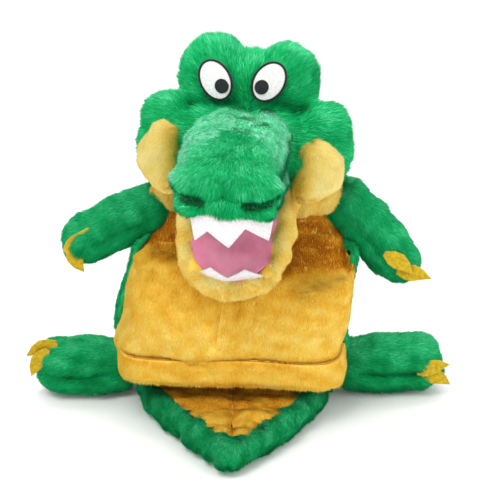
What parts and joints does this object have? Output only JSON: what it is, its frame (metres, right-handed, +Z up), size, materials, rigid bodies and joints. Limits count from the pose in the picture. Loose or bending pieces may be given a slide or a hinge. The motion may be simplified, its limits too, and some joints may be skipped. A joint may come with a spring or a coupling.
{
  "type": "hand puppet",
  "caption": "Plush crocodile hand puppet sitting on its folded tail, with a hinged mouth, felt teeth and eyes, stuffed arms and legs and a sleeve for the hand.",
  "frame": {"origin": "on the ground, under the front part of the seat, midway between the hips", "axes": "+Z up, the puppet faces -Y, +X towards the puppet's left-hand side as the viewer's right"},
  "size_m": [0.4119, 0.2371, 0.3635],
  "materials": {
    "green_plush": "rough",
    "yellow_plush": "rough",
    "pink_lining": "satin",
    "lining_cloth": "rough",
    "yellow_thread": "satin",
    "black_thread": "satin",
    "white_felt": "rough",
    "claw_felt": "rough",
    "mouth_board": "rough",
    "stuffing": "rough"
  },
  "bodies": {
    "torso": {"back_panel": "green_plush", "seat_panel": "green_plush", "belly_left": "yellow_plush", "belly_right": "yellow_plush", "hem_band": "yellow_plush", "hem_stitching": "yellow_thread", "sleeve_lining": "lining_cloth"},
    "neck": {"neck_front": "yellow_plush", "neck_back": "green_plush", "neck_lining": "lining_cloth"},
    "head": {"crown_skin": "green_plush", "head_stuffing": "stuffing", "snout_skin": "green_plush", "snout_stuffing": "stuffing", "left_cheek": "green_plush", "right_cheek": "green_plush", "left_jowl": "yellow_plush", "right_jowl": "yellow_plush", "left_eye_white": "white_felt", "right_eye_white": "white_felt", "left_eye_outline": "black_thread", "right_eye_outline": "black_thread", "left_pupil": "black_thread", "right_pupil": "black_thread", "upper_board": "mouth_board", "upper_lining": "pink_lining", "upper_teeth": "white_felt", "mouth_fold": "pink_lining", "finger_pocket": "lining_cloth"},
    "jaw": {"jaw_left": "yellow_plush", "jaw_right": "yellow_plush", "lower_board": "mouth_board", "lower_lining": "pink_lining", "lower_teeth": "white_felt", "thumb_pocket": "lining_cloth"},
    "tail": {"tail_back": "green_plush", "tail_belly_left": "yellow_plush", "tail_belly_right": "yellow_plush", "tail_stuffing": "stuffing"},
    "left_arm": {"left_arm_upper": "green_plush", "left_arm_lower": "green_plush", "left_arm_stuffing": "stuffing", "left_arm_claws": "claw_felt"},
    "right_arm": {"right_arm_upper": "green_plush", "right_arm_lower": "green_plush", "right_arm_stuffing": "stuffing", "right_arm_claws": "claw_felt"},
    "left_leg": {"left_leg_upper": "green_plush", "left_leg_lower": "green_plush", "left_leg_stuffing": "stuffing", "left_leg_claws": "claw_felt"},
    "right_leg": {"right_leg_upper": "green_plush", "right_leg_lower": "green_plush", "right_leg_stuffing": "stuffing", "right_leg_claws": "claw_felt"}
  },
  "joints": [
    {"name": "neck_turn", "type": "hinge", "parent": "torso", "child": "neck", "pos_m": [0.008, 0.004, 0.2], "axis": [0, 0, 1], "range_deg": [-8, 8]},
    {"name": "head_nod", "type": "hinge", "parent": "neck", "child": "head", "pos_m": [0.008, 0.03, 0.236], "axis": [-1, 0, 0], "range_deg": [0, 25]},
    {"name": "mouth", "type": "hinge", "parent": "head", "child": "jaw", "pos_m": [0, -0.052, 0.236], "axis": [-0.9932, 0.1044, 0.0523], "range_deg": [0, 30]},
    {"name": "left_arm_swing", "type": "hinge", "parent": "torso", "child": "left_arm", "pos_m": [-0.0964, -0.008, 0.19], "axis": [0, 1, 0], "range_deg": [-12, 55]},
    {"name": "right_arm_swing", "type": "hinge", "parent": "torso", "child": "right_arm", "pos_m": [0.1112, -0.008, 0.19], "axis": [0, -1, 0], "range_deg": [-6, 70]},
    {"name": "left_leg_swing", "type": "hinge", "parent": "torso", "child": "left_leg", "pos_m": [-0.1426, 0, 0.029], "axis": [0, 1, 0], "range_deg": [0, 50]},
    {"name": "right_leg_swing", "type": "hinge", "parent": "torso", "child": "right_leg", "pos_m": [0.1305, 0.004, 0.029], "axis": [0, -1, 0], "range_deg": [0, 50]},
    {"name": "tail_fold", "type": "hinge", "parent": "torso", "child": "tail", "pos_m": [-0.006, -0.006, 0], "axis": [1, 0, 0], "range_deg": [0, 160]}
  ]
}
